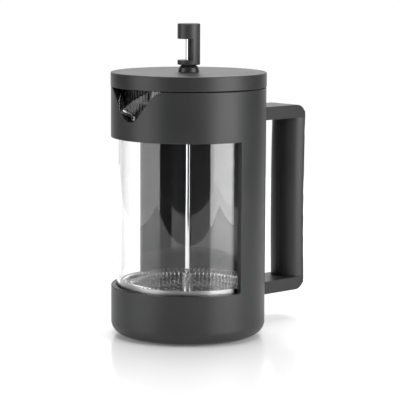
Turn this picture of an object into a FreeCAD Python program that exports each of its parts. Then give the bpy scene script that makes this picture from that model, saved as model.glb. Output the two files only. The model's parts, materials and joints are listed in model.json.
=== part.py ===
"""French press: an open-sided housing with a handle, a glass beaker, a lid and a plunger.

Millimetres.  +Z is up and the press stands on z = 0 with its axis on Z.
The handle points along +X and the spout along -X.
Each function below builds one physical piece, and the last lines write one STEP file per piece.
"""
import FreeCAD, Part
import math
import os

V = FreeCAD.Vector
UP = V(0, 0, 1)

# ---- fits -----------------------------------------------------------------------------------
RUN_FIT = 0.05            # radial clearance of a part that slides or turns in another
LOOSE_FIT = 0.3           # gap between a thread's or clip's piece and the hole it drops through
SEAT_GAP = 0.1            # height between faces of different moving parts that rest on each other
OVERCUT = 1.0             # how far a cutting tool runs past the face that it opens

# ---- glass beaker ---------------------------------------------------------------------------
BEAKER_R = 48.0
BEAKER_WALL = 1.8
BEAKER_FLOOR = 2.6
BEAKER_CORNER_R = 7.0
BEAKER_HEIGHT = 161.6
SPOUT_REACH = 11.4        # how far the lip stands out beyond the beaker's inner wall line
SPOUT_DEPTH = 13.2        # how far the tip of the lip lies below the rim
SPOUT_RISE = 0.65         # rise of the channel's underside for each millimetre outwards
SPOUT_DIP_RUN = 17.6      # horizontal run of the sloping cut that dips the rim to the tip

# ---- housing --------------------------------------------------------------------------------
HOUSING_WALL = 3.4
BEAKER_GAP = 0.6          # air between the glass and the housing
HOUSING_FLOOR = 3.0
FOOT_R = 8.3              # rounding of the housing's bottom edge
WINDOW_BOTTOM = 33.4
BAND_HEIGHT = 33.3        # closed ring above the window
RIM_STAND = 0.5           # the glass rim stands this much above the housing
WINDOW_CORNER_R = 1.4
HOUSING_EDGE_R = 0.4
NOTCH_DEPTH = 20.6        # V-shaped cut in the band for the spout
NOTCH_ROOT_R = 9.5
NOTCH_SIDE = 40.0         # degrees between the notch's sides and vertical
NOTCH_FLARE_R = 13.0
NOTCH_FLARE_END = 15.0    # degrees between the notch's mouth and horizontal
SPOUT_GAP = 0.8           # air between the glass spout and the notch

# ---- pads -----------------------------------------------------------------------------------
PAD_MARGIN = 2.7          # flat ring of housing left around the pad
PAD_T = 1.6
PAD_RECESS = 1.0
CUSHION_MARGIN = 2.0      # flat ring of glass left around the cushion
CUSHION_T = 2.0

# ---- handle ---------------------------------------------------------------------------------
HANDLE_WIDTH = 27.0
HANDLE_REACH = 46.0       # from the housing's outside to the grip's outer face
ARM_T = 9.0
ARM_LOW = 20.2            # underside of the lower arm
ARM_DROP = 16.1           # from the housing's top edge down to the top of the upper arm
HANDLE_CORNER_R = 8.0
GRIP_SLAB = 1.5           # full-width outer layer of the grip
GRIP_DEPTH = 12.3         # rounded inner part of the grip
GRIP_BOW = 0.8            # the grip curves in by this much at mid-height
HANDLE_EDGE_R = 0.8
SEAM_GAP = 0.3
SEAM_DEPTH = 0.7

# ---- handle screws --------------------------------------------------------------------------
SCREW_R = 1.5
SCREW_HEAD_R = 2.9
SCREW_HEAD_T = 1.6
SCREW_SPREAD = 7.0        # distance of each screw from the handle's seam
SCREW_BITE = 12.0         # length of screw inside the handle
SCREW_POINT = 1.5
DRIVE_R = 1.2
DRIVE_DEPTH = 1.0

# ---- lid ------------------------------------------------------------------------------------
LID_OVERHANG = 0.2        # the lid is this much wider than the housing
LID_HEIGHT = 9.5
LID_PLATE = 2.4
LID_SKIRT_WALL = 2.4
LID_EDGE_R = 0.7
LID_LIP_R = 0.3
LID_RIB_STEP = 0.2        # the ring over the glass rim starts this far outside the inner wall
LID_RIB_LAP = 0.8         # and reaches this far beyond the outer wall

# ---- strainer inside the lid ----------------------------------------------------------------
STRAINER_GAP = 1.0        # radial air between the strainer and the glass
STRAINER_WALL = 2.0
STRAINER_DROP = 27.0      # from the underside of the lid plate to the strainer's lower edge
STRAINER_FLANGE_T = 2.0
SLOT_W = 1.3
SLOT_H = 7.6
SLOT_ROWS = 2
SLOT_ROW_PITCH = 9.0
SLOT_FIRST = 3.0          # from the strainer's lower edge to the first row
SLOT_PITCH = 2.6          # between slots, along the strainer's outside
SLOT_SPAN = 70.0          # degrees of the strainer that have slots

# ---- rod guide in the lid -------------------------------------------------------------------
GUIDE_R = 7.1
GUIDE_CROWN = 0.2         # flat top of the dome beyond the neck's radius
GUIDE_SHOULDER = 1.5      # height of the dome's nearly upright foot
GUIDE_HEIGHT = 4.3
GUIDE_NECK_R = 4.2
GUIDE_NUT_R = 6.6
GUIDE_NUT_T = 3.2
GUIDE_THREAD_FREE = 0.8   # neck that shows below the nut

# ---- plunger --------------------------------------------------------------------------------
ROD_R = 2.0
KNOB_R = 7.6
KNOB_FOOT = 3.1           # full disc under the knob's notch
KNOB_NOTCH = 14.2         # height of the notch that shows the rod
KNOB_CAP = 10.1           # full cylinder above the notch
KNOB_EDGE_R = 0.6
KNOB_TURN = 22.0          # degrees that the notch's open side is turned from the handle's side view
KNOB_NOTCH_PAST = 0.5     # the notch's flat lies this far beyond the axis
KNOB_LIFT = 0.3           # knob above the guide when the plunger is down
INSERT_WALL = 1.4
INSERT_T = 7.5
HUB_WALL = 1.8
HUB_HEIGHT = 11.5
HUB_CHAMFER = 0.5

# ---- filter ---------------------------------------------------------------------------------
GROUNDS_SPACE = 21.2      # from the beaker's inside floor to the dish
DISH_T = 0.6
DISH_RIM_RUN = 7.0        # the curved rim's width, seen from above
DISH_RIM_RISE = 4.4
DISH_GAP = 0.4            # between the dish's rim and the coil
HOLE_R = 1.5
HOLE_START = 5.7          # from the hub's side to the first ring of holes
HOLE_PITCH = 5.4          # between rings
HOLE_SPACING = 7.2        # between holes along a ring
HOLE_MARGIN = 1.0         # from the last ring of holes to the curved rim
COIL_TUBE_R = 2.0
COIL_SHELL = 0.3
COIL_FLOAT = 3.2          # the coil's underside above the dish's floor
COIL_GAP = 0.15           # between the coil and the mesh
MESH_T = 0.35
MESH_GAP = 0.3            # radial air between the mesh and the glass
MESH_MARGIN = 3.0         # the mesh stays flat this far beyond the dish's flat floor
MESH_LAP = 1.1            # the mesh's edge reaches this far above the coil's centre
CROSS_MARGIN = 2.0        # the cross plate reaches this far beyond the dish's flat floor
CROSS_T = 1.0
CROSS_HUB_R = 12.0
CROSS_RIM = 4.0
CROSS_ARMS = 6
CROSS_ARM_W = 7.0
BOSS_WALL = 3.0
BOSS_HEIGHT = 5.2
ROD_BITE = 4.2            # length of rod inside the boss

# ---- heights and radii that follow ----------------------------------------------------------
HOUSING_R = BEAKER_R + BEAKER_GAP + HOUSING_WALL
HOUSING_IN_R = BEAKER_R + BEAKER_GAP
HOUSING_BASE_Z = PAD_T - PAD_RECESS
HOUSING_FLOOR_Z = HOUSING_BASE_Z + HOUSING_FLOOR
BEAKER_Z = HOUSING_FLOOR_Z + CUSHION_T
BEAKER_IN_R = BEAKER_R - BEAKER_WALL
BEAKER_IN_Z = BEAKER_Z + BEAKER_FLOOR
RIM_Z = BEAKER_Z + BEAKER_HEIGHT
BAND_TOP = RIM_Z - RIM_STAND
BAND_BOTTOM = BAND_TOP - BAND_HEIGHT
NOTCH_Z = BAND_TOP - NOTCH_DEPTH
PAD_R = HOUSING_R - FOOT_R - PAD_MARGIN
CUSHION_R = BEAKER_R - BEAKER_CORNER_R - CUSHION_MARGIN
HANDLE_X = HOUSING_R + HANDLE_REACH
ARM_HIGH = BAND_TOP - ARM_DROP
HANDLE_MID_Z = (ARM_LOW + ARM_HIGH) / 2
LID_R = HOUSING_R + LID_OVERHANG
LID_RIB_IN = BEAKER_IN_R + LID_RIB_STEP
LID_RIB_OUT = BEAKER_R + LID_RIB_LAP
LID_Z = RIM_Z + SEAT_GAP
LID_TOP = LID_Z + LID_HEIGHT
PLATE_Z = LID_TOP - LID_PLATE
STRAINER_R = BEAKER_IN_R - STRAINER_GAP
STRAINER_Z = PLATE_Z - STRAINER_DROP
GUIDE_Z = LID_TOP + SEAT_GAP
GUIDE_TOP = GUIDE_Z + GUIDE_HEIGHT
NUT_Z = PLATE_Z - SEAT_GAP - GUIDE_NUT_T
KNOB_Z = GUIDE_TOP + KNOB_LIFT
NOTCH_LOW = KNOB_Z + KNOB_FOOT
NOTCH_HIGH = NOTCH_LOW + KNOB_NOTCH
KNOB_TOP = NOTCH_HIGH + KNOB_CAP
INSERT_R = ROD_R + INSERT_WALL
INSERT_Z = NOTCH_HIGH
HUB_R = ROD_R + HUB_WALL
BOSS_R = ROD_R + BOSS_WALL
DISH_Z = BEAKER_IN_Z + GROUNDS_SPACE
DISH_TOP = DISH_Z + DISH_T
MESH_Z = DISH_Z - MESH_T
MESH_R = BEAKER_IN_R - MESH_GAP
COIL_R = MESH_R - MESH_T - COIL_GAP - COIL_TUBE_R
COIL_Z = DISH_TOP + COIL_FLOAT + COIL_TUBE_R
DISH_RIM_R = COIL_R - COIL_TUBE_R - DISH_GAP
DISH_FLAT_R = DISH_RIM_R - DISH_RIM_RUN
MESH_FLAT_R = DISH_FLAT_R + MESH_MARGIN
CROSS_R = DISH_FLAT_R + CROSS_MARGIN
CROSS_Z = MESH_Z - CROSS_T
ROD_Z = CROSS_Z - ROD_BITE
ROD_TOP = INSERT_Z + INSERT_T


# ---- helpers --------------------------------------------------------------------------------
def cylinder(radius, low, high):
    return Part.makeCylinder(radius, high - low, V(0, 0, low))


def ring(outer, inner, low, high):
    return cylinder(outer, low, high).cut(cylinder(inner, low - OVERCUT, high + OVERCUT))


def box(low, high):
    return Part.makeBox(high[0] - low[0], high[1] - low[1], high[2] - low[2], V(*low))


def turned(points):
    """The solid that a closed outline of (radius, height) points sweeps about Z."""
    corners = [V(r, 0, z) for r, z in points]
    face = Part.Face(Part.makePolygon(corners + corners[:1]))
    return face.revolve(V(0, 0, 0), UP, 360)


def rounded(shape, radius, places):
    """Round the circular edges that lie about Z at the given (radius, height) places."""
    edges = []
    for edge in shape.Edges:
        if not isinstance(edge.Curve, Part.Circle):
            continue
        for r, z in places:
            if abs(edge.Curve.Radius - r) < 1e-4 and abs(edge.Curve.Center.z - z) < 1e-4:
                edges.append(edge)
    return shape.makeFillet(radius, edges)


def spun(shape, degrees):
    copy = shape.copy()
    copy.rotate(V(0, 0, 0), UP, degrees)
    return copy


def circle_point(centre, radius, degrees):
    """A point in the YZ plane at an angle measured from +Y towards +Z."""
    angle = math.radians(degrees)
    return centre + V(0, radius * math.cos(angle), radius * math.sin(angle))


# ---- the spout's section, shared by the glass and the housing's notch ------------------------
def channel_section(root_z, root_r, height):
    """A V with a round bottom in the YZ plane, closed by a level line at the given height."""
    centre = V(0, 0, root_z + root_r)
    right_foot = circle_point(centre, root_r, -NOTCH_SIDE)
    left_foot = circle_point(centre, root_r, 180 + NOTCH_SIDE)
    run = (height - right_foot.z) * math.tan(math.radians(NOTCH_SIDE))
    right_top = V(0, right_foot.y + run, height)
    left_top = V(0, -right_top.y, height)
    edges = [
        Part.Arc(left_foot, V(0, 0, root_z), right_foot).toShape(),
        Part.makeLine(right_foot, right_top),
        Part.makeLine(right_top, left_top),
        Part.makeLine(left_top, left_foot),
    ]
    return Part.Face(Part.Wire(edges))


# ---- housing --------------------------------------------------------------------------------
def notch_cutter():
    """The flared V that lets the spout out through the band."""
    side = math.radians(NOTCH_SIDE)
    end = math.radians(NOTCH_FLARE_END)
    root = V(0, 0, NOTCH_Z + NOTCH_ROOT_R)
    foot = circle_point(root, NOTCH_ROOT_R, -NOTCH_SIDE)
    flare_z = BAND_TOP - NOTCH_FLARE_R * (math.cos(end) - math.sin(side))
    flare_y = foot.y + (flare_z - foot.z) * math.tan(side)
    flare_centre = V(0, flare_y + NOTCH_FLARE_R * math.cos(side), flare_z - NOTCH_FLARE_R * math.sin(side))
    flare_start = V(0, flare_y, flare_z)
    flare_mid = circle_point(flare_centre, NOTCH_FLARE_R, (180 - NOTCH_SIDE + 90 + NOTCH_FLARE_END) / 2)
    flare_end = circle_point(flare_centre, NOTCH_FLARE_R, 90 + NOTCH_FLARE_END)
    roof = BAND_TOP + OVERCUT
    mirror = [V(0, -p.y, p.z) for p in (foot, flare_start, flare_mid, flare_end)]
    edges = [
        Part.Arc(mirror[0], V(0, 0, NOTCH_Z), foot).toShape(),
        Part.makeLine(foot, flare_start),
        Part.Arc(flare_start, flare_mid, flare_end).toShape(),
        Part.makeLine(flare_end, V(0, flare_end.y, roof)),
        Part.makeLine(V(0, flare_end.y, roof), V(0, -flare_end.y, roof)),
        Part.makeLine(V(0, -flare_end.y, roof), mirror[3]),
        Part.Arc(mirror[3], mirror[2], mirror[1]).toShape(),
        Part.makeLine(mirror[1], mirror[0]),
    ]
    face = Part.Face(Part.Wire(edges))
    face.translate(V(-HOUSING_R - OVERCUT, 0, 0))
    return face.extrude(V(HOUSING_R, 0, 0))


def window_cutter():
    """Half of the wall, between the base cup and the band, on the spout's side."""
    reach = HOUSING_R + OVERCUT
    block = box((-reach, -reach, WINDOW_BOTTOM), (0, reach, BAND_BOTTOM))
    corner = [e for e in block.Edges if abs(e.CenterOfMass.x) < 1e-6
              and abs(e.CenterOfMass.z - WINDOW_BOTTOM) < 1e-6]
    return block.makeFillet(WINDOW_CORNER_R, corner)


def is_housing_lip(edge):
    """Outer edges of the window, of the notch and of the housing's top."""
    points = [edge.valueAt(p) for p in (edge.FirstParameter, (edge.FirstParameter + edge.LastParameter) / 2,
                                        edge.LastParameter)]
    outside = all(abs(math.hypot(p.x, p.y) - HOUSING_R) < 1e-3 for p in points)
    low = min(p.z for p in points)
    seam = abs(points[1].y) < 1e-3 and points[1].x > 0
    return outside and low > WINDOW_BOTTOM - 1e-3 and not seam


def make_housing():
    body = cylinder(HOUSING_R, HOUSING_BASE_Z, BAND_TOP)
    body = rounded(body, FOOT_R, [(HOUSING_R, HOUSING_BASE_Z)])
    body = body.cut(cylinder(HOUSING_IN_R, HOUSING_FLOOR_Z, BAND_TOP + OVERCUT))
    body = body.cut(cylinder(PAD_R, HOUSING_BASE_Z - OVERCUT, HOUSING_BASE_Z + PAD_RECESS))
    body = body.cut(window_cutter())
    body = body.cut(notch_cutter())
    body = body.makeFillet(HOUSING_EDGE_R, [edge for edge in body.Edges if is_housing_lip(edge)])
    for tool in screw_tools(RUN_FIT):
        body = body.cut(tool)
    return body


def make_base_pad():
    return cylinder(PAD_R, 0, PAD_T)


def make_beaker_cushion():
    return cylinder(CUSHION_R, HOUSING_FLOOR_Z, HOUSING_FLOOR_Z + CUSHION_T)


# ---- handle and its screws ------------------------------------------------------------------
def screw_places():
    heights = (ARM_LOW + ARM_T / 2, ARM_HIGH - ARM_T / 2)
    return [(side * SCREW_SPREAD, z) for z in heights for side in (-1, 1)]


def screw_seat_x():
    """Where the flat heads start, so that none of them stands out of the housing's inner wall."""
    return math.sqrt(HOUSING_IN_R ** 2 - (SCREW_SPREAD - SCREW_HEAD_R) ** 2)


def screw_tools(clearance):
    """Countersunk holes from inside the housing, one for each screw."""
    head_x = screw_seat_x()
    tools = []
    for y, z in screw_places():
        shaft = Part.makeCylinder(SCREW_R + clearance, HANDLE_REACH, V(head_x, y, z), V(1, 0, 0))
        head = Part.makeCone(SCREW_HEAD_R + clearance, SCREW_R + clearance, SCREW_HEAD_T,
                             V(head_x, y, z), V(1, 0, 0))
        mouth = Part.makeCylinder(SCREW_HEAD_R + clearance, OVERCUT * 2, V(head_x, y, z), V(-1, 0, 0))
        tools.append(shaft.fuse([head, mouth]))
    return tools


def make_screw(y, z):
    head_x = screw_seat_x()
    tip_x = HOUSING_R + SCREW_BITE
    head = Part.makeCone(SCREW_HEAD_R, SCREW_R, SCREW_HEAD_T, V(head_x, y, z), V(1, 0, 0))
    shaft = Part.makeCylinder(SCREW_R, tip_x - head_x, V(head_x, y, z), V(1, 0, 0))
    point = Part.makeCone(SCREW_R, 0, SCREW_POINT, V(tip_x, y, z), V(1, 0, 0))
    drive = Part.makeBox(DRIVE_DEPTH, 2 * DRIVE_R, DRIVE_R / 2, V(head_x, y - DRIVE_R, z - DRIVE_R / 4))
    cross = Part.makeBox(DRIVE_DEPTH, DRIVE_R / 2, 2 * DRIVE_R, V(head_x, y - DRIVE_R / 4, z - DRIVE_R))
    return head.fuse([shaft, point]).cut(drive).cut(cross).removeSplitter()


def make_handle_screws():
    return Part.makeCompound([make_screw(y, z) for y, z in screw_places()])


def bow_centre():
    """Centre and radius of the large arc that the grip's outer face follows."""
    half = (ARM_HIGH - ARM_LOW) / 2 - HANDLE_CORNER_R
    radius = half ** 2 / (2 * GRIP_BOW)
    return V(HANDLE_X - GRIP_BOW + radius, 0, HANDLE_MID_Z), radius


def corner_arc(up, inset):
    """Three points of a rounded outer corner, from the arm's face to the bowed grip."""
    centre, bow = bow_centre()
    radius = HANDLE_CORNER_R - inset
    bow = bow + inset
    height = (ARM_HIGH - ARM_LOW) / 2 - HANDLE_CORNER_R
    middle = V(centre.x - math.sqrt((bow + radius) ** 2 - height ** 2), 0, HANDLE_MID_Z + up * height)
    towards = (centre - middle).normalize()
    slant = (towards + V(0, 0, up)).normalize()
    return middle + V(0, 0, up * radius), middle + slant * radius, middle + towards * radius


def handle_frame(inset):
    """The two arms and the grip's flat outer layer, as one C-shaped slab."""
    centre, bow = bow_centre()
    foot_x = HOUSING_R - 2 * HOUSING_WALL
    low_start, low_mid, low_end = corner_arc(-1, inset)
    high_start, high_mid, high_end = corner_arc(1, inset)
    slab_x = centre.x - bow - GRIP_SLAB
    ends_x = centre.x - math.sqrt((bow + GRIP_SLAB) ** 2 - (HANDLE_MID_Z - ARM_LOW - ARM_T) ** 2)
    inner_low = ARM_LOW + ARM_T - inset
    inner_high = ARM_HIGH - ARM_T + inset
    edges = [
        Part.makeLine(V(foot_x, 0, low_start.z), low_start),
        Part.Arc(low_start, low_mid, low_end).toShape(),
        Part.Arc(low_end, V(centre.x - bow - inset, 0, HANDLE_MID_Z), high_end).toShape(),
        Part.Arc(high_end, high_mid, high_start).toShape(),
        Part.makeLine(high_start, V(foot_x, 0, high_start.z)),
        Part.makeLine(V(foot_x, 0, high_start.z), V(foot_x, 0, inner_high)),
        Part.makeLine(V(foot_x, 0, inner_high), V(ends_x, 0, inner_high)),
        Part.Arc(V(ends_x, 0, inner_high), V(slab_x, 0, HANDLE_MID_Z), V(ends_x, 0, inner_low)).toShape(),
        Part.makeLine(V(ends_x, 0, inner_low), V(foot_x, 0, inner_low)),
        Part.makeLine(V(foot_x, 0, inner_low), V(foot_x, 0, low_start.z)),
    ]
    face = Part.Face(Part.Wire(edges))
    face.translate(V(0, -HANDLE_WIDTH / 2, 0))
    slab = face.extrude(V(0, HANDLE_WIDTH, 0))
    outside = [edge.CenterOfMass for edge in edges[:5]]
    return slab.makeFillet(HANDLE_EDGE_R, [e for e in slab.Edges if beside(e.CenterOfMass, outside)])


def beside(point, places):
    """Whether a point lies on one of the handle's flat sides, straight beside one of the places."""
    on_side = abs(abs(point.y) - HANDLE_WIDTH / 2) < 1e-4
    return on_side and any(V(point.x, 0, point.z).distanceToPoint(p) < 1e-3 for p in places)


def handle_grip(inset):
    """The rounded inner part of the grip, bent along the same large arc."""
    centre, bow = bow_centre()
    back_x = centre.x - bow - GRIP_SLAB
    half_width = HANDLE_WIDTH / 2 - inset
    depth = GRIP_DEPTH - inset
    ellipse = Part.Ellipse(V(back_x, half_width, HANDLE_MID_Z), V(back_x - depth, 0, HANDLE_MID_Z),
                           V(back_x, 0, HANDLE_MID_Z))
    start = V(back_x, half_width, HANDLE_MID_Z)
    finish = V(back_x, -half_width, HANDLE_MID_Z)
    nose = V(back_x - depth, 0, HANDLE_MID_Z)
    curve = Part.ArcOfEllipse(ellipse, ellipse.parameter(start), ellipse.parameter(finish)).toShape()
    if curve.valueAt((curve.FirstParameter + curve.LastParameter) / 2).distanceToPoint(nose) > depth:
        curve = Part.ArcOfEllipse(ellipse, ellipse.parameter(finish), ellipse.parameter(start)).toShape()
    slab_x = back_x + GRIP_SLAB / 2
    edges = [
        curve,
        Part.makeLine(start, V(slab_x, half_width, HANDLE_MID_Z)),
        Part.makeLine(V(slab_x, half_width, HANDLE_MID_Z), V(slab_x, -half_width, HANDLE_MID_Z)),
        Part.makeLine(V(slab_x, -half_width, HANDLE_MID_Z), finish),
    ]
    face = Part.Face(Part.Wire(Part.__sortEdges__(edges)))
    half_angle = math.degrees((HANDLE_MID_Z - ARM_LOW - ARM_T / 2) / (bow + GRIP_SLAB))
    face.rotate(centre, V(0, 1, 0), -half_angle)
    return face.revolve(centre, V(0, 1, 0), 2 * half_angle)


def handle_solid(inset):
    body = handle_frame(inset).fuse(handle_grip(inset)).removeSplitter()
    return body.cut(cylinder(HOUSING_R, 0, LID_TOP))


def handle_half(side):
    """One moulded half of the handle; side is 1 towards +Y and -1 towards -Y."""
    body = handle_solid(0)
    seam = box((HOUSING_IN_R, -SEAM_GAP / 2, 0), (HANDLE_X + OVERCUT, SEAM_GAP / 2, LID_TOP))
    body = body.cut(seam.cut(handle_solid(SEAM_DEPTH)))
    width = side * HANDLE_WIDTH
    keep = box((0, min(0, width), 0), (HANDLE_X + OVERCUT, max(0, width), LID_TOP))
    body = body.common(keep)
    for y, z in screw_places():
        if y * side > 0:
            hole = Part.makeCylinder(SCREW_R, SCREW_BITE, V(HOUSING_R, y, z), V(1, 0, 0))
            point = Part.makeCone(SCREW_R, 0, SCREW_POINT, V(HOUSING_R + SCREW_BITE, y, z), V(1, 0, 0))
            entry = Part.makeCylinder(SCREW_R, HOUSING_WALL, V(HOUSING_R, y, z), V(-1, 0, 0))
            body = body.cut(hole.fuse([point, entry]))
    return body


# ---- beaker ---------------------------------------------------------------------------------
def spout_channel(offset):
    """The spout: level through the notch, rising outside it; offset shrinks it into the glass."""
    root_z = NOTCH_Z + SPOUT_GAP + offset
    root_r = NOTCH_ROOT_R - SPOUT_GAP - offset
    inner_x = BEAKER_IN_R / 2
    run = HOUSING_IN_R + SPOUT_REACH + OVERCUT - inner_x
    start_z = root_z - (HOUSING_IN_R - inner_x) * SPOUT_RISE
    rising = channel_section(start_z, root_r, RIM_Z + OVERCUT)
    rising.translate(V(-inner_x, 0, 0))
    level = channel_section(root_z, root_r, RIM_Z + OVERCUT + run * SPOUT_RISE)
    level.translate(V(-inner_x, 0, 0))
    return rising.extrude(V(-run, 0, run * SPOUT_RISE)).common(level.extrude(V(-run, 0, 0)))


def rim_cutter():
    """Everything above the rim, with a plane that dips down to the spout's tip."""
    tip_x = HOUSING_IN_R + SPOUT_REACH
    slope = SPOUT_DEPTH / SPOUT_DIP_RUN
    far_x = 2 * tip_x
    far_z = RIM_Z - SPOUT_DEPTH - (far_x - tip_x) * slope
    roof = RIM_Z + HOUSING_R
    corners = [
        V(tip_x, 0, RIM_Z),
        V(SPOUT_DIP_RUN - tip_x, 0, RIM_Z),
        V(-far_x, 0, far_z),
        V(-far_x, 0, roof),
        V(tip_x, 0, roof),
    ]
    face = Part.Face(Part.makePolygon(corners + corners[:1]))
    face.translate(V(0, -HOUSING_R, 0))
    return face.extrude(V(0, 2 * HOUSING_R, 0))


def make_beaker():
    top = RIM_Z + OVERCUT
    outer = rounded(cylinder(BEAKER_R, BEAKER_Z, top), BEAKER_CORNER_R, [(BEAKER_R, BEAKER_Z)])
    inner = rounded(cylinder(BEAKER_IN_R, BEAKER_IN_Z, top), BEAKER_CORNER_R - BEAKER_WALL,
                    [(BEAKER_IN_R, BEAKER_IN_Z)])
    outer = outer.fuse(spout_channel(0))
    inner = inner.fuse(spout_channel(BEAKER_WALL))
    return outer.cut(inner).cut(rim_cutter())


# ---- lid ------------------------------------------------------------------------------------
def make_lid():
    body = rounded(cylinder(LID_R, LID_Z, LID_TOP), LID_EDGE_R, [(LID_R, LID_TOP)])
    body = rounded(body, LID_LIP_R, [(LID_R, LID_Z)])
    body = body.cut(ring(LID_R - LID_SKIRT_WALL, LID_RIB_OUT, LID_Z - OVERCUT, PLATE_Z))
    body = body.cut(cylinder(LID_RIB_IN, LID_Z - OVERCUT, PLATE_Z))
    return body.cut(cylinder(GUIDE_NECK_R + RUN_FIT, LID_Z, LID_TOP + OVERCUT))


def make_lid_strainer():
    inner = STRAINER_R - STRAINER_WALL
    tube = ring(STRAINER_R, inner, STRAINER_Z, PLATE_Z)
    flange = ring(LID_RIB_IN, inner, PLATE_Z - STRAINER_FLANGE_T, PLATE_Z)
    body = tube.fuse(flange).removeSplitter()
    slots = []
    step = math.degrees(SLOT_PITCH / STRAINER_R)
    count = 1 + 2 * int(SLOT_SPAN / 2 / step)
    for row in range(SLOT_ROWS):
        low = STRAINER_Z + SLOT_FIRST + row * SLOT_ROW_PITCH
        slot = box((-STRAINER_R - OVERCUT, -SLOT_W / 2, low), (-inner + OVERCUT, SLOT_W / 2, low + SLOT_H))
        for column in range(count):
            slots.append(spun(slot, (column - (count - 1) / 2) * step))
    return body.cut(slots)


def make_rod_guide():
    """Domed bush: it sits on the lid, and its threaded neck passes through it."""
    neck_z = NUT_Z - GUIDE_THREAD_FREE
    foot = V(GUIDE_R, 0, GUIDE_Z)
    shoulder = V(GUIDE_R - GUIDE_SHOULDER / 8, 0, GUIDE_Z + GUIDE_SHOULDER)
    crown = V(GUIDE_NECK_R + GUIDE_CROWN, 0, GUIDE_TOP)
    bend = V((2 * shoulder.x + crown.x) / 3, 0, (shoulder.z + 2 * crown.z) / 3)
    bore = ROD_R + RUN_FIT
    points = [V(bore, 0, GUIDE_TOP), V(bore, 0, neck_z), V(GUIDE_NECK_R, 0, neck_z), V(GUIDE_NECK_R, 0, GUIDE_Z)]
    edges = [
        Part.makeLine(points[0], points[1]),
        Part.makeLine(points[1], points[2]),
        Part.makeLine(points[2], points[3]),
        Part.makeLine(points[3], foot),
        Part.makeLine(foot, shoulder),
        Part.Arc(shoulder, bend, crown).toShape(),
        Part.makeLine(crown, points[0]),
    ]
    return Part.Face(Part.Wire(edges)).revolve(V(0, 0, 0), UP, 360)


def make_guide_nut():
    return ring(GUIDE_NUT_R, GUIDE_NECK_R, NUT_Z, NUT_Z + GUIDE_NUT_T)


# ---- plunger --------------------------------------------------------------------------------
def make_plunger_rod():
    return cylinder(ROD_R, ROD_Z, ROD_TOP)


def make_knob():
    """Upright cylinder with a half-round notch that shows the rod, and a hole for the insert."""
    body = rounded(cylinder(KNOB_R, KNOB_Z, KNOB_TOP), KNOB_EDGE_R, [(KNOB_R, KNOB_Z), (KNOB_R, KNOB_TOP)])
    low = (-KNOB_R - OVERCUT, -KNOB_R - OVERCUT, NOTCH_LOW)
    notch = box(low, (KNOB_NOTCH_PAST, KNOB_R + OVERCUT, NOTCH_HIGH))
    body = body.cut(spun(notch, -KNOB_TURN))
    body = body.cut(cylinder(ROD_R, KNOB_Z - OVERCUT, ROD_TOP))
    return body.cut(cylinder(INSERT_R, INSERT_Z, INSERT_Z + INSERT_T))


def make_knob_insert():
    return ring(INSERT_R, ROD_R, INSERT_Z, INSERT_Z + INSERT_T)


def make_hub():
    hub = cylinder(HUB_R, DISH_TOP, DISH_TOP + HUB_HEIGHT)
    top = [e for e in hub.Edges if isinstance(e.Curve, Part.Circle) and e.Curve.Center.z > DISH_TOP + 1]
    return hub.makeChamfer(HUB_CHAMFER, top).cut(cylinder(ROD_R, DISH_Z, KNOB_Z))


# ---- filter ---------------------------------------------------------------------------------
def rim_point(centre, radius, angle):
    """A point in the XZ plane on the dish's bend, at an angle from straight down."""
    turn = math.radians(angle)
    return centre + V(radius * math.sin(turn), 0, -radius * math.cos(turn))


def make_spiral_plate():
    """Perforated dish whose rim curves up from its flat floor."""
    sweep = 2 * math.degrees(math.atan2(DISH_RIM_RISE, DISH_RIM_RUN))
    bend = DISH_RIM_RUN / math.sin(math.radians(sweep))
    centre = V(DISH_FLAT_R, 0, DISH_Z + bend)
    under = [rim_point(centre, bend, angle) for angle in (0, sweep / 2, sweep)]
    above = [rim_point(centre, bend - DISH_T, angle) for angle in (sweep, sweep / 2, 0)]
    bore_low, bore_high = V(ROD_R, 0, DISH_Z), V(ROD_R, 0, DISH_TOP)
    edges = [
        Part.makeLine(bore_low, under[0]),
        Part.Arc(*under).toShape(),
        Part.makeLine(under[2], above[0]),
        Part.Arc(*above).toShape(),
        Part.makeLine(above[2], bore_high),
        Part.makeLine(bore_high, bore_low),
    ]
    body = Part.Face(Part.Wire(edges)).revolve(V(0, 0, 0), V(0, 0, 1), 360)
    holes = []
    radius = HUB_R + HOLE_START
    while radius + HOLE_R + HOLE_MARGIN < DISH_FLAT_R:
        count = round(2 * math.pi * radius / HOLE_SPACING)
        hole = Part.makeCylinder(HOLE_R, DISH_T + 2 * OVERCUT, V(radius, 0, DISH_Z - OVERCUT))
        holes += [spun(hole, index * 360 / count) for index in range(count)]
        radius += HOLE_PITCH
    return body.cut(holes)


def make_coil_spring():
    """The wire coil's outer form, as a thin-walled ring with the space inside it empty."""
    outer = Part.makeTorus(COIL_R, COIL_TUBE_R, V(0, 0, COIL_Z))
    inner = Part.makeTorus(COIL_R, COIL_TUBE_R - COIL_SHELL, V(0, 0, COIL_Z))
    return outer.cut(inner)


def make_filter_mesh():
    """Woven disc under the dish, with its edge turned up outside the coil."""
    lip = COIL_Z + MESH_LAP
    knee = COIL_Z - COIL_TUBE_R
    return turned([
        (ROD_R, MESH_Z), (MESH_FLAT_R, MESH_Z), (MESH_R, knee - MESH_T), (MESH_R, lip),
        (MESH_R - MESH_T, lip), (MESH_R - MESH_T, knee), (MESH_FLAT_R - MESH_T / 2, DISH_Z), (ROD_R, DISH_Z),
    ])


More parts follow.
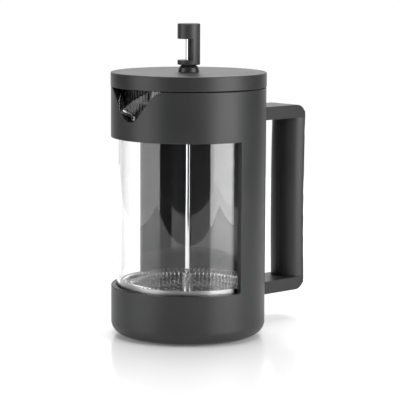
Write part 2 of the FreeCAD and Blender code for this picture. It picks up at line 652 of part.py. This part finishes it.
def make_cross_plate():
    """Open plate that clamps the mesh from below: a rim, a hub and spokes."""
    rim = ring(CROSS_R, CROSS_R - CROSS_RIM, CROSS_Z, MESH_Z)
    hub = cylinder(CROSS_HUB_R, CROSS_Z, MESH_Z)
    arm = box((0, -CROSS_ARM_W / 2, CROSS_Z), (CROSS_R - CROSS_RIM / 2, CROSS_ARM_W / 2, MESH_Z))
    arms = [spun(arm, index * 360 / CROSS_ARMS) for index in range(CROSS_ARMS)]
    return rim.fuse([hub] + arms).removeSplitter().cut(cylinder(ROD_R, 0, DISH_Z))


def make_cross_boss():
    """Threaded boss under the cross plate: the rod's end screws into it."""
    boss = cylinder(BOSS_R, CROSS_Z - BOSS_HEIGHT, CROSS_Z)
    return boss.cut(cylinder(ROD_R, ROD_Z, CROSS_Z + OVERCUT))


PIECES = {
    "housing": make_housing,
    "base_pad": make_base_pad,
    "beaker_cushion": make_beaker_cushion,
    "handle_left": lambda: handle_half(1),
    "handle_right": lambda: handle_half(-1),
    "handle_screws": make_handle_screws,
    "beaker": make_beaker,
    "lid": make_lid,
    "lid_strainer": make_lid_strainer,
    "rod_guide": make_rod_guide,
    "guide_nut": make_guide_nut,
    "plunger_rod": make_plunger_rod,
    "knob": make_knob,
    "knob_insert": make_knob_insert,
    "hub": make_hub,
    "spiral_plate": make_spiral_plate,
    "coil_spring": make_coil_spring,
    "filter_mesh": make_filter_mesh,
    "cross_plate": make_cross_plate,
    "cross_boss": make_cross_boss,
}

os.makedirs("parts", exist_ok=True)
for name, make in PIECES.items():
    make().exportStep(f"parts/{name}.step")
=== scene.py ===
"""Looks of the french press: materials, detailed pieces, floor, light and camera around the CAD frame."""

import json
import math

import bmesh
import bpy
from mathutils import Matrix, Vector


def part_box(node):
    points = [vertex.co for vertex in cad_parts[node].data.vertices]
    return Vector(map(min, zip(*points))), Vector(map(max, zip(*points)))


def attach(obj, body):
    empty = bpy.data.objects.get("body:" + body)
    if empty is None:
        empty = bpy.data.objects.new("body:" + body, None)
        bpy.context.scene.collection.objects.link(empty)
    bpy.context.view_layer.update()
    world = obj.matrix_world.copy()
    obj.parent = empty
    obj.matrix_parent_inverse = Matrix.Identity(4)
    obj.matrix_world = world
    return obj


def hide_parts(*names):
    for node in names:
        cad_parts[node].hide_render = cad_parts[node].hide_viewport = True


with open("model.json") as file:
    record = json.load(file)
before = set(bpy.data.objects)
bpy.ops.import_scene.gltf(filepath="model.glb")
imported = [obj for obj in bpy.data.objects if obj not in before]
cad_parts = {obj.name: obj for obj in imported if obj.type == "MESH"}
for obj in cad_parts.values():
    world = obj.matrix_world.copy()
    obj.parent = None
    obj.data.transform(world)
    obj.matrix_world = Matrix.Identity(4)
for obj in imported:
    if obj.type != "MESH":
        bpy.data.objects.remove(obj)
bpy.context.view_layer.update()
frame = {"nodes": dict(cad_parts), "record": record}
NODES = frame["nodes"]
MM = 0.001


# ---- materials ------------------------------------------------------------------------------
NOISE_LOW, NOISE_HIGH = 0.3, 0.7     # the part of a noise texture's range that colours and gloss follow

# texture scales, per metre
GRAIN_SCALE = 2600.0
PATCH_SCALE = 45.0
RIPPLE_SCALE = 18.0
MARKS_SCALE = 900.0
WEAVE_SCALE = 700.0
WEAVE_PATCH_SCALE = 160.0
RUBBER_SCALE = 1400.0

# heights of relief, in metres
FINE_GRAIN = 0.00001
BODY_GRAIN = 0.00002
RUBBER_GRAIN = 0.00004
WEAVE_RELIEF = 0.00004
GLASS_RIPPLE = 0.000003
STEEL_MARKS = 0.0000005
PLATE_MARKS = 0.0000002
CHROME_MARKS = 0.00000005


class Shader:
    """A node material with a Principled shader and short ways to add texture nodes."""

    def __init__(self, name, **sockets):
        self.material = bpy.data.materials.new(name)
        self.material.use_nodes = True
        self.tree = self.material.node_tree
        self.tree.nodes.clear()
        self.output = self.node("ShaderNodeOutputMaterial")
        self.shader = self.node("ShaderNodeBsdfPrincipled")
        self.link(self.shader, "BSDF", self.output, "Surface")
        self.place = self.node("ShaderNodeTexCoord")
        for socket, value in sockets.items():
            self.shader.inputs[socket.replace("_", " ")].default_value = value

    def node(self, kind, **sockets):
        made = self.tree.nodes.new(kind)
        for socket, value in sockets.items():
            made.inputs[socket.replace("_", " ")].default_value = value
        return made

    def link(self, start, out, end, into):
        self.tree.links.new(start.outputs[out], end.inputs[into])

    def noise(self, scale, detail=2.0):
        made = self.node("ShaderNodeTexNoise", Scale=scale, Detail=detail)
        self.link(self.place, "Object", made, "Vector")
        return made

    def ramp(self, source, stops, out="Fac"):
        made = self.node("ShaderNodeValToRGB")
        first, last = made.color_ramp.elements
        for element, (place, colour) in zip((first, last), stops):
            element.position = place
            element.color = colour
        self.link(source, out, made, "Fac")
        return made

    def colour_from(self, source, low, high):
        made = self.ramp(source, ((NOISE_LOW, low), (NOISE_HIGH, high)))
        self.link(made, "Color", self.shader, "Base Color")

    def roughness_from(self, source, low, high):
        made = self.node("ShaderNodeMapRange", From_Min=NOISE_LOW, From_Max=NOISE_HIGH,
                         To_Min=low, To_Max=high)
        self.link(source, "Fac", made, "Value")
        self.link(made, "Result", self.shader, "Roughness")

    def bump_from(self, source, height, out="Fac"):
        made = self.node("ShaderNodeBump", Strength=1.0, Distance=height)
        self.link(source, out, made, "Height")
        self.link(made, "Normal", self.shader, "Normal")


def grey(value, tint=0.0):
    return (value, value * (1 + tint), value * (1 + 2 * tint), 1.0)


def moulded_plastic(name, tone, rough, grain_height):
    """Dark moulded plastic: a fine spark-eroded grain with slight changes of tone and gloss."""
    s = Shader(name, Specular_IOR_Level=0.4)
    grain = s.noise(GRAIN_SCALE, detail=3.0)
    patches = s.noise(PATCH_SCALE, detail=3.0)
    s.colour_from(patches, grey(tone * 0.92, 0.01), grey(tone * 1.08, 0.01))
    s.roughness_from(patches, rough - 0.02, rough + 0.03)
    s.bump_from(grain, grain_height)
    return s.material


def glass(name):
    """Clear borosilicate glass with a faint ripple."""
    s = Shader(name, Transmission_Weight=1.0, Roughness=0.0, IOR=1.47)
    ripple = s.noise(RIPPLE_SCALE, detail=1.0)
    s.colour_from(ripple, grey(0.985), grey(1.0))
    s.bump_from(ripple, GLASS_RIPPLE)
    return s.material


def steel(name, tone, rough, marks_height=STEEL_MARKS):
    """Polished or drawn steel with fine marks."""
    s = Shader(name, Metallic=1.0)
    marks = s.noise(MARKS_SCALE, detail=4.0)
    s.colour_from(marks, grey(tone * 0.94), grey(tone))
    s.roughness_from(marks, rough * 0.8, rough * 1.3)
    s.bump_from(marks, marks_height)
    return s.material


def woven(name, tone, rough):
    """Fine woven wire: crossed waves in height, and in tone as painted shade that darkens the low places,
    with small uneven patches.
    """
    s = Shader(name, Metallic=1.0)
    weave = s.node("ShaderNodeTexWave", Scale=WEAVE_SCALE)
    cross = s.node("ShaderNodeTexWave", Scale=WEAVE_SCALE)
    weave.bands_direction, cross.bands_direction = "DIAGONAL", "Z"
    both = s.node("ShaderNodeMath")
    both.operation = "MULTIPLY"
    s.link(s.place, "Object", weave, "Vector")
    s.link(s.place, "Object", cross, "Vector")
    s.link(weave, "Fac", both, 0)
    s.link(cross, "Fac", both, 1)
    # painted shade: where the crossed waves are low, in the recesses between wires, the tone falls to 0.55
    # of the wire's own tone
    shaded_weave_tone = s.ramp(both, ((0.1, grey(tone * 0.55)), (0.6, grey(tone))), out="Value")
    s.link(shaded_weave_tone, "Color", s.shader, "Base Color")
    s.roughness_from(s.noise(WEAVE_PATCH_SCALE), rough * 0.85, rough * 1.15)
    s.bump_from(both, WEAVE_RELIEF, out="Value")
    return s.material


def rubber(name, tone):
    """Matte rubber or silicone with a soft grain."""
    s = Shader(name, Specular_IOR_Level=0.3)
    grain = s.noise(RUBBER_SCALE, detail=3.0)
    s.colour_from(grain, grey(tone * 0.85), grey(tone * 1.15))
    s.roughness_from(grain, 0.65, 0.85)
    s.bump_from(grain, RUBBER_GRAIN)
    return s.material


# slot, maker and the maker's values: tone and roughness, then the height of the relief where it is given
RECIPES = (
    ("body_plastic", moulded_plastic, 0.025, 0.40, BODY_GRAIN),
    ("lid_plastic", moulded_plastic, 0.025, 0.40, BODY_GRAIN),
    ("knob_plastic", moulded_plastic, 0.042, 0.42, BODY_GRAIN),
    ("strainer_plastic", moulded_plastic, 0.034, 0.40, FINE_GRAIN),
    ("guide_plastic", moulded_plastic, 0.028, 0.28, 0.0),
    ("foot_rubber", rubber, 0.02),
    ("cushion_silicone", rubber, 0.08),
    ("screw_steel", steel, 0.6, 0.3),
    ("beaker_glass", glass),
    ("rod_steel", steel, 0.85, 0.04),
    ("insert_brass", steel, 0.7, 0.3),
    ("hub_chrome", steel, 0.95, 0.20, CHROME_MARKS),
    ("plate_steel", steel, 0.60, 0.12, PLATE_MARKS),
    ("coil_steel", steel, 0.97, 0.12),
    ("mesh_steel", woven, 0.62, 0.40),
)
MATERIALS = {slot: make(slot, *values) for slot, make, *values in RECIPES}

SLOT_OF = {part["node"]: part["material_slot"] for part in frame["record"]["subparts"]}


def paint_frame():
    """Give every CAD node the material of its slot."""
    for part in frame["record"]["subparts"]:
        node = NODES[part["node"]]
        node.data.materials.clear()
        node.data.materials.append(MATERIALS[part["material_slot"]])


# ---- pieces made in detail ------------------------------------------------------------------
def add_piece(name, mesh, body, node, sharp=30.0):
    """Put a mesh in the scene as the visible form of a CAD node."""
    mesh.shade_smooth()
    mesh.set_sharp_from_angle(angle=math.radians(sharp))
    mesh.materials.clear()
    mesh.materials.append(MATERIALS[SLOT_OF[node]])
    piece = bpy.data.objects.new(name, mesh)
    bpy.context.scene.collection.objects.link(piece)
    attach(piece, body)
    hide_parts(node)


def mesh_from(name, bm):
    """A mesh of everything in bm, which is freed."""
    bmesh.ops.recalc_face_normals(bm, faces=bm.faces)
    mesh = bpy.data.meshes.new(name)
    bm.to_mesh(mesh)
    bm.free()
    return mesh


def revolve(bm, profile, steps):
    """Turn a closed outline of (radius, height) points once round the Z axis."""
    rings = []
    for i in range(steps):
        a = 2 * math.pi * i / steps
        rings.append([bm.verts.new((r * math.cos(a), r * math.sin(a), z)) for r, z in profile])
    for i, ring in enumerate(rings):
        after = rings[(i + 1) % steps]
        for k in range(len(profile)):
            n = (k + 1) % len(profile)
            bm.faces.new((ring[k], after[k], after[n], ring[n]))


def tube(bm, path, radius, sides):
    """A round wire along a closed loop of points."""
    count = len(path)
    rings = []
    for i, point in enumerate(path):
        along = (path[(i + 1) % count] - path[i - 1]).normalized()
        out = Vector((point.x, point.y, 0)).normalized()
        across = along.cross(out).normalized()
        out = across.cross(along)
        rings.append([bm.verts.new(point + radius * (math.cos(t) * out + math.sin(t) * across))
                      for t in (2 * math.pi * k / sides for k in range(sides))])
    for i, ring in enumerate(rings):
        after = rings[(i + 1) % count]
        for k in range(sides):
            n = (k + 1) % sides
            bm.faces.new((ring[k], ring[n], after[n], after[k]))


def cut_holes(mesh, pins, sides=20):
    """Cut round holes out of a mesh; each pin is (centre, axis, radius, half length)."""
    bm = bmesh.new()
    for centre, axis, radius, half in pins:
        turn = Vector(axis).to_track_quat("Z", "Y").to_matrix().to_4x4()
        bmesh.ops.create_cone(bm, cap_ends=True, segments=sides, radius1=radius, radius2=radius,
                              depth=2 * half, matrix=Matrix.Translation(centre) @ turn)
    cutter = bpy.data.objects.new("cutter", mesh_from("cutter", bm))
    whole = bpy.data.objects.new("whole", mesh)
    for item in (cutter, whole):
        bpy.context.scene.collection.objects.link(item)
    cut = whole.modifiers.new("cut", "BOOLEAN")
    cut.operation, cut.solver, cut.object = "DIFFERENCE", "EXACT", cutter
    bpy.context.view_layer.update()
    done = bpy.data.meshes.new_from_object(whole.evaluated_get(bpy.context.evaluated_depsgraph_get()))
    for item in (cutter, whole):
        bpy.data.objects.remove(item)
    return done


COIL_TURNS = 84
COIL_WIRE_R = 0.45 * MM
COIL_STEPS = 28                             # points along one turn of wire
COIL_SIDES = 8                              # and round it
COIL_IN = Vector((38.9 * MM, 0, 31.0 * MM))     # where a turn passes under the dish's rim
COIL_OUT = Vector((44.9 * MM, 0, 35.3 * MM))    # its outermost point, beside the mesh
COIL_RISE = 3.05 * MM                       # how far a turn stands above the line between them
COIL_SAG = 1.0 * MM                         # and below it
RIM_HOLE_R = 0.9 * MM
RIM_HOLE_ANGLE = math.radians(38.0)         # how far up the rim's bend the holes for the wire are
RIM_HOLE_TURN = 0.47                        # the part of a turn at which the wire is in its hole
RIM_PIN_HALF = 1.2 * MM                     # half length of the pin that cuts a hole


def coil_spring():
    """The wire coil: it is wound round the dish's rim and through the ring of holes in it."""
    middle = (COIL_IN + COIL_OUT) / 2
    along = (COIL_OUT - COIL_IN) / 2
    above = Vector((-along.z, 0, along.x)).normalized()
    path = []
    for i in range(COIL_TURNS * COIL_STEPS):
        turn = i / COIL_STEPS
        t = 2 * math.pi * turn
        lift = math.sin(t) * (COIL_RISE if math.sin(t) > 0 else COIL_SAG)
        point = middle + along * math.cos(t) + above * lift
        path.append(Matrix.Rotation(2 * math.pi * turn / COIL_TURNS, 3, "Z") @ point)
    bm = bmesh.new()
    tube(bm, path, COIL_WIRE_R, COIL_SIDES)
    add_piece("coil_wire", mesh_from("coil_wire", bm), "plunger", "coil_spring", sharp=80.0)


DISH_BORE_R = 2.0 * MM
DISH_FLAT_R = 34.0 * MM
DISH_SHEET = 0.6 * MM
DISH_RIM_DROP = DISH_SHEET * 0.43    # the bend's outer side ends this far below the dish's highest point
DISH_RIM_STEPS = 14
DISH_EDGE_DEPTHS = (0.16, 0.84)      # where the rounded edge's two points lie, as parts of the sheet
DISH_EDGE_TURN = 0.012               # how far they stand out past the bend, as an angle
DISH_HOLE_R = 1.5 * MM
DISH_HOLE_RINGS = ((9.5 * MM, 8), (14.9 * MM, 13), (20.3 * MM, 18), (25.7 * MM, 22), (31.1 * MM, 27))
FLOOR_PIN_HALF = 1.5 * MM


def filter_dish():
    """The pressed dish: a perforated floor and a curved rim with the ring of holes for the coil."""
    low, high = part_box("spiral_plate")
    bottom = low[2]
    run = high[0] - DISH_FLAT_R
    rise = high[2] - low[2] - DISH_RIM_DROP
    sweep = 2 * math.atan2(rise, run)
    bend = run / math.sin(sweep)

    def on_bend(turn, inward):
        reach = bend - inward
        return (DISH_FLAT_R + reach * math.sin(turn), bottom + bend - reach * math.cos(turn))

    turns = [sweep * k / DISH_RIM_STEPS for k in range(DISH_RIM_STEPS + 1)]
    edge = [depth * DISH_SHEET for depth in DISH_EDGE_DEPTHS]
    tip = sweep + DISH_EDGE_TURN
    profile = [(DISH_BORE_R, bottom)] + [on_bend(t, 0) for t in turns]
    profile += [on_bend(tip, depth) for depth in edge] + [on_bend(t, DISH_SHEET) for t in reversed(turns)]
    profile.append((DISH_BORE_R, bottom + DISH_SHEET))
    bm = bmesh.new()
    revolve(bm, profile, COIL_TURNS * 2)
    pins = []
    for radius, count in DISH_HOLE_RINGS:
        for i in range(count):
            a = 2 * math.pi * i / count
            centre = Vector((radius * math.cos(a), radius * math.sin(a), bottom + DISH_SHEET / 2))
            pins.append((centre, (0, 0, 1), DISH_HOLE_R, FLOOR_PIN_HALF))
    at = on_bend(RIM_HOLE_ANGLE, DISH_SHEET / 2)
    for i in range(COIL_TURNS):
        spin = Matrix.Rotation(2 * math.pi * (i + RIM_HOLE_TURN) / COIL_TURNS, 3, "Z")
        axis = spin @ Vector((-math.sin(RIM_HOLE_ANGLE), 0, math.cos(RIM_HOLE_ANGLE)))
        pins.append((spin @ Vector((at[0], 0, at[1])), axis, RIM_HOLE_R, RIM_PIN_HALF))
    mesh = cut_holes(mesh_from("filter_dish", bm), pins)
    add_piece("filter_dish", mesh, "plunger", "spiral_plate", sharp=25.0)


GLASS_WALL = 1.8 * MM
GLASS_FLOOR = 2.6 * MM
GLASS_FOOT_R = 7.0 * MM
GLASS_LOW = 138.0 * MM               # the wall is plain up to this height
FOOT_STEPS, WALL_STEPS, LEAVE_STEPS, SPOUT_STEPS, RIM_STEPS = 12, 14, 7, 22, 10
NEAR_STEPS, FAR_STEPS = 40, 160      # steps round the beaker: each side of the spout, and all the rest
NEAR_SPAN = 1.4                      # the finer steps reach this many half widths from the spout's middle
SPOUT_HALF = math.radians(18.0)      # the spout's half width, as an angle round the beaker
SPOUT_REACH = 11.0 * MM              # how far its lip stands out of the wall
SPOUT_DIP = 13.0 * MM                # how far its tip lies below the rim
SPOUT_TIP_ROUND = 0.12
SPOUT_DIP_POWER = 1.8
SPOUT_START = 2.0 * MM               # its curve starts this far below the height where it leaves the wall
SPOUT_RISE = 1.2 * MM                # and keeps to the wall until about this far above it
SPOUT_LEAST = 2.0 * MM               # the least height from there to the rim
SPOUT_BELLY = (0.55, 0.35)           # the curve's third handle: parts of the reach and of the height
KEEL_HEIGHT = 147.4 * MM             # where the underside leaves the wall at the middle of the spout
KEEL_OUT = 2.0 * MM                  # the keel's width is taken this far outside the wall
KEEL_R = 8.4 * MM
KEEL_SIDE = math.radians(40.0)


def keel_height(y):
    """Height at which the spout's underside leaves the wall: a V with a round root, like the notch."""
    foot = KEEL_R * math.cos(KEEL_SIDE)
    y = abs(y)
    if y < foot:
        return KEEL_HEIGHT + KEEL_R - math.sqrt(KEEL_R ** 2 - y ** 2)
    return KEEL_HEIGHT + KEEL_R * (1 - math.sin(KEEL_SIDE)) + (y - foot) / math.tan(KEEL_SIDE)


def bezier(points, t):
    """The point at t on a cubic curve with four handles."""
    a, b, c, d = points
    u = 1 - t
    return u ** 3 * a + 3 * u ** 2 * t * b + 3 * u * t ** 2 * c + t ** 3 * d


def eased_share(share):
    """From 0 at the spout's middle to 1 at its side, with a rounded start."""
    start = SPOUT_TIP_ROUND
    return (math.hypot(share, start) - start) / (math.hypot(1, start) - start)


def glass_meridian(angle, radius, base, rim):
    """The outer side of the beaker at an angle from the spout, foot to rim, as (radius, height) vectors."""
    points = [Vector((radius - GLASS_FOOT_R, base))]
    for k in range(1, FOOT_STEPS + 1):
        t = math.pi / 2 * k / FOOT_STEPS
        points.append(Vector((radius - GLASS_FOOT_R * (1 - math.sin(t)),
                              base + GLASS_FOOT_R * (1 - math.cos(t)))))
    wall = GLASS_LOW - base - GLASS_FOOT_R
    for k in range(1, WALL_STEPS + 1):
        points.append(Vector((radius, base + GLASS_FOOT_R + wall * k / WALL_STEPS)))
    share = min(abs(angle) / SPOUT_HALF, 1.0)
    reach = SPOUT_REACH * (1 - share) ** 2 * (1 + 2 * share)
    top = rim - GLASS_WALL / 2 - SPOUT_DIP * (1 - eased_share(share)) ** SPOUT_DIP_POWER
    leave = top - SPOUT_LEAST
    if share < 1:
        leave = min(keel_height((radius + KEEL_OUT) * math.sin(angle)), leave)
    out, up = SPOUT_BELLY
    curve = (Vector((radius, leave - SPOUT_START)), Vector((radius, leave + SPOUT_RISE)),
             Vector((radius + out * reach, leave + up * (top - leave))), Vector((radius + reach, top)))
    for k in range(1, LEAVE_STEPS):
        points.append(Vector((radius, GLASS_LOW + (leave - SPOUT_START - GLASS_LOW) * k / LEAVE_STEPS)))
    points += [bezier(curve, k / SPOUT_STEPS) for k in range(SPOUT_STEPS + 1)]
    return points


def glass_section(outer):
    """Both sides of the wall and the round rim that joins them, from a meridian of the outside."""
    inner = []
    for k, point in enumerate(outer):
        along = outer[min(k + 1, len(outer) - 1)] - outer[max(k - 1, 0)]
        wall = GLASS_WALL
        if k <= FOOT_STEPS:
            wall = GLASS_FLOOR + (GLASS_WALL - GLASS_FLOOR) * k / FOOT_STEPS
        inner.append(point + Vector((-along.y, along.x)).normalized() * wall)
    across = (outer[-1] - inner[-1]) / 2
    middle = (outer[-1] + inner[-1]) / 2
    ahead = Vector((-across.y, across.x))
    turns = [math.pi * k / RIM_STEPS for k in range(1, RIM_STEPS)]
    cap = [middle + across * math.cos(t) + ahead * math.sin(t) for t in turns]
    return outer + cap + inner[::-1]


def beaker():
    """The glass: a straight cylinder with a round foot, a fire-polished rim and a drawn spout."""
    low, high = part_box("beaker")
    near = [SPOUT_HALF * NEAR_SPAN * k / NEAR_STEPS for k in range(-NEAR_STEPS, NEAR_STEPS + 1)]
    gap = 2 * math.pi - 2 * near[-1]
    angles = near + [near[-1] + gap * k / FAR_STEPS for k in range(1, FAR_STEPS)]
    bm = bmesh.new()
    rings = []
    for angle in angles:
        folded = (angle + math.pi) % (2 * math.pi) - math.pi
        section = glass_section(glass_meridian(folded, high[1], low[2], high[2]))
        rings.append([bm.verts.new((-p.x * math.cos(angle), p.x * math.sin(angle), p.y)) for p in section])
    for i, ring in enumerate(rings):
        after = rings[(i + 1) % len(rings)]
        for a, b, c, d in zip(ring, ring[1:], after[1:], after):
            bm.faces.new((a, b, c, d))
    bm.faces.new([ring[0] for ring in rings])
    bm.faces.new([ring[-1] for ring in reversed(rings)])
    add_piece("beaker_glass", mesh_from("beaker_glass", bm), "beaker", "beaker", sharp=70.0)


# ---- camera, light and floor ----------------------------------------------------------------
CAMERA_AZIMUTH = math.radians(42.0)   # the handle points right of and away from the camera by this much
CAMERA_DISTANCE = 1.2925
CAMERA_HEIGHT = 0.26565
CAMERA_PITCH = 0.1348
CAMERA_ROLL = -0.0039
CAMERA_LENS = 174.35
CAMERA_SHIFT = 0.0294
CAMERA_SENSOR = 36.0
CAMERA_CLIP = 50.0


def make_camera():
    """The main view's camera."""
    data = bpy.data.cameras.new("camera")
    data.lens = CAMERA_LENS
    data.sensor_width = CAMERA_SENSOR
    data.shift_x = CAMERA_SHIFT
    data.clip_end = CAMERA_CLIP
    camera = bpy.data.objects.new("camera", data)
    bpy.context.scene.collection.objects.link(camera)
    right = Vector((math.cos(CAMERA_AZIMUTH), -math.sin(CAMERA_AZIMUTH), 0))
    ahead = Vector((math.sin(CAMERA_AZIMUTH), math.cos(CAMERA_AZIMUTH), 0))
    forward = ahead * math.cos(CAMERA_PITCH) - Vector((0, 0, math.sin(CAMERA_PITCH)))
    up = right.cross(forward)
    x = right * math.cos(CAMERA_ROLL) - up * math.sin(CAMERA_ROLL)
    y = right * math.sin(CAMERA_ROLL) + up * math.cos(CAMERA_ROLL)
    turn = Matrix((x, y, -forward)).transposed().to_4x4()
    camera.matrix_world = Matrix.Translation(-ahead * CAMERA_DISTANCE + Vector((0, 0, CAMERA_HEIGHT))) @ turn
    bpy.context.scene.camera = camera


def from_camera(side, ahead, height):
    """A point given to the right of, beyond and above the object, as the main view sees it."""
    c, s = math.cos(CAMERA_AZIMUTH), math.sin(CAMERA_AZIMUTH)
    return Vector((side * c + ahead * s, -side * s + ahead * c, height))


# upright softboxes: (name, bearing, distance, (low, high), width, radiance)
SOFTBOXES = (("softbox_left", -65.0, 1.0, (-0.35, 1.0), 0.72, 2.7),
             ("softbox_right", 57.0, 1.0, (-0.35, 1.0), 0.80, 4.8))
TOP_LIGHT_SIZE = (1.2, 1.0)
TOP_LIGHT_PLACE = (0.0, 0.2, 1.6)    # to the right of, beyond and above the object
TOP_LIGHT_POWER = 18.0


def panel_light(name, size, power, place):
    """A rectangular area light that the camera doesn't see."""
    data = bpy.data.lights.new(name, "AREA")
    data.shape = "RECTANGLE"
    data.size, data.size_y = size
    data.energy = power
    light = bpy.data.objects.new(name, data)
    bpy.context.scene.collection.objects.link(light)
    light.location = place
    light.visible_camera = False
    return light


def softbox(name, bearing, distance, heights, width, radiance):
    """An upright panel at a bearing, in degrees to the right of the line from object to camera."""
    low, high = heights
    height = high - low
    turn = math.radians(bearing)
    place = from_camera(math.sin(turn) * distance, -math.cos(turn) * distance, (low + high) / 2)
    light = panel_light(name, (width, height), radiance * math.pi * width * height, place)
    light.rotation_mode = "QUATERNION"
    light.rotation_quaternion = Vector((-place.x, -place.y, 0)).to_track_quat("-Z", "Y")


def make_lights():
    for box in SOFTBOXES:
        softbox(*box)
    panel_light("softbox_top", TOP_LIGHT_SIZE, TOP_LIGHT_POWER, from_camera(*TOP_LIGHT_PLACE))


# radiance of the studio's walls by bearing from the camera: (degrees, value), left side then mirrored
STUDIO_WALLS = ((0.0, 0.04), (128.0, 0.06), (150.0, 0.75), (165.0, 1.3))
SEEN_WHITE = 1.02                    # what the camera itself sees of them


def make_world():
    """A white backdrop behind the object and a dark room around the camera; white to look at."""
    world = bpy.data.worlds.new("studio")
    bpy.context.scene.world = world
    world.use_nodes = True
    tree = world.node_tree
    tree.nodes.clear()
    output = tree.nodes.new("ShaderNodeOutputWorld")
    room = tree.nodes.new("ShaderNodeBackground")
    seen = tree.nodes.new("ShaderNodeBackground")
    mix = tree.nodes.new("ShaderNodeMixShader")
    path = tree.nodes.new("ShaderNodeLightPath")
    place = tree.nodes.new("ShaderNodeTexCoord")
    turn = tree.nodes.new("ShaderNodeMapping")
    bearing = tree.nodes.new("ShaderNodeTexGradient")
    walls = tree.nodes.new("ShaderNodeValToRGB")
    turn.vector_type = "POINT"
    turn.inputs["Rotation"].default_value = (0, 0, CAMERA_AZIMUTH + math.radians(90))
    bearing.gradient_type = "RADIAL"
    ramp = walls.color_ramp
    stops = [(0.5 - d / 360, v) for d, v in STUDIO_WALLS] + [(0.5 + d / 360, v) for d, v in STUDIO_WALLS[1:]]
    while len(ramp.elements) < len(stops):
        ramp.elements.new(0.5)
    for element, (position, value) in zip(ramp.elements, sorted(stops)):
        element.position = position
        element.color = grey(value)
    tree.links.new(place.outputs["Generated"], turn.inputs["Vector"])
    tree.links.new(turn.outputs["Vector"], bearing.inputs["Vector"])
    tree.links.new(bearing.outputs["Fac"], walls.inputs["Fac"])
    tree.links.new(walls.outputs["Color"], room.inputs["Color"])
    seen.inputs["Color"].default_value = (1, 1, 1, 1)
    seen.inputs["Strength"].default_value = SEEN_WHITE
    tree.links.new(path.outputs["Is Camera Ray"], mix.inputs["Fac"])
    tree.links.new(room.outputs[0], mix.inputs[1])
    tree.links.new(seen.outputs[0], mix.inputs[2])
    tree.links.new(mix.outputs[0], output.inputs["Surface"])


TABLE_FRONT = 0.465    # the table ends this far in front of the object
TABLE_BACK = 0.86      # and this far behind it
TABLE_SIDE = 0.55
TABLE_TOP = -0.0003    # just under the feet, so the two faces do not fight
TABLE_GLOW = (0.08, 0.30)     # light of its own, near the object and far from it, for an even white
TABLE_GLOW_SPAN = (0.16, 0.86)
TABLE_WHITE = (0.93, 0.95)
TABLE_CLOUD_SCALE = 3.0


def make_floor():
    """A pale glossy table top under the object."""
    corners = [(-TABLE_SIDE, -TABLE_FRONT), (TABLE_SIDE, -TABLE_FRONT),
               (TABLE_SIDE, TABLE_BACK), (-TABLE_SIDE, TABLE_BACK)]
    mesh = bpy.data.meshes.new("floor")
    mesh.from_pydata([from_camera(x, y, TABLE_TOP) for x, y in corners], [], [(0, 1, 2, 3)])
    floor = bpy.data.objects.new("floor", mesh)
    bpy.context.scene.collection.objects.link(floor)
    s = Shader("floor_white", Specular_IOR_Level=0.3, Roughness=0.18, Emission_Color=(1, 1, 1, 1))
    cloud = s.noise(TABLE_CLOUD_SCALE)
    s.colour_from(cloud, grey(TABLE_WHITE[0]), grey(TABLE_WHITE[1]))
    reach = s.node("ShaderNodeVectorMath")
    reach.operation = "LENGTH"
    glow = s.node("ShaderNodeMapRange", From_Min=TABLE_GLOW_SPAN[0], From_Max=TABLE_GLOW_SPAN[1],
                  To_Min=TABLE_GLOW[0], To_Max=TABLE_GLOW[1])
    glow.interpolation_type = "SMOOTHSTEP"
    s.link(s.place, "Object", reach, "Vector")
    s.link(reach, "Value", glow, "Value")
    s.link(glow, "Result", s.shader, "Emission Strength")
    mesh.materials.append(s.material)


make_camera()
make_world()
make_lights()
make_floor()
paint_frame()
beaker()
coil_spring()
filter_dish()
bpy.context.scene.view_settings.view_transform = "Standard"
